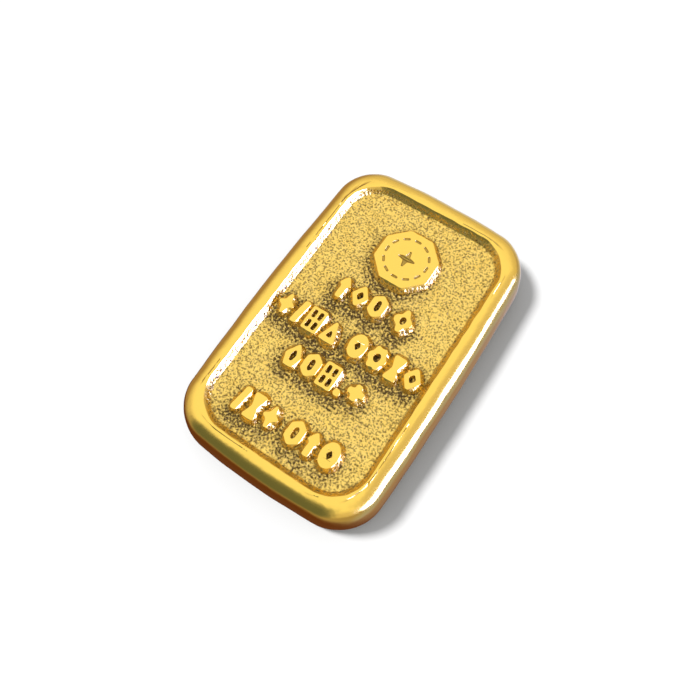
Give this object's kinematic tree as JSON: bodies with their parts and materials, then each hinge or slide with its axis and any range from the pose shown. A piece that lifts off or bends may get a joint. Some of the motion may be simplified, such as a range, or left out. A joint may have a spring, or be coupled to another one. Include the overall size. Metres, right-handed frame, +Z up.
{
  "type": "paperweight",
  "caption": "Small solid brass bar with a raised polished rim round a sunk grained field, raised geometric marks, an engraved badge plate and a felt base pad.",
  "frame": {"origin": "centre of the face that the bar rests on", "axes": "+Y along the bar towards the badge, +X across it to the right as the rows are seen from above, +Z up"},
  "size_m": [0.0464, 0.0724, 0.0105],
  "materials": {
    "bar_brass": "polished rim and sides, grained cast field with a dark patina in its hollows",
    "badge_brass": "brushed and polished top, dark engraved lines",
    "mark_brass": "polished tops, cast sides",
    "felt": "matte pressed wool felt"
  },
  "bodies": {
    "root": {"bar_casting": "bar_brass", "felt_pad": "felt", "badge_plate": "badge_brass", "row1_arrow": "mark_brass", "row1_lozenge": "mark_brass", "row1_hexagon": "mark_brass", "row1_quatrefoil": "mark_brass", "row2_star": "mark_brass", "row2_slash": "mark_brass", "row2_pane": "mark_brass", "row2_triangle": "mark_brass", "row2_disc": "mark_brass", "row2_cog": "mark_brass", "row2_hourglass": "mark_brass", "row2_lozenge": "mark_brass", "row3_kite": "mark_brass", "row3_hexagon": "mark_brass", "row3_pane": "mark_brass", "row3_dot": "mark_brass", "row3_plus": "mark_brass", "row4_slash": "mark_brass", "row4_hourglass": "mark_brass", "row4_star": "mark_brass", "row4_hexagon": "mark_brass", "row4_arrow": "mark_brass", "row4_disc": "mark_brass"}
  },
  "joints": []
}
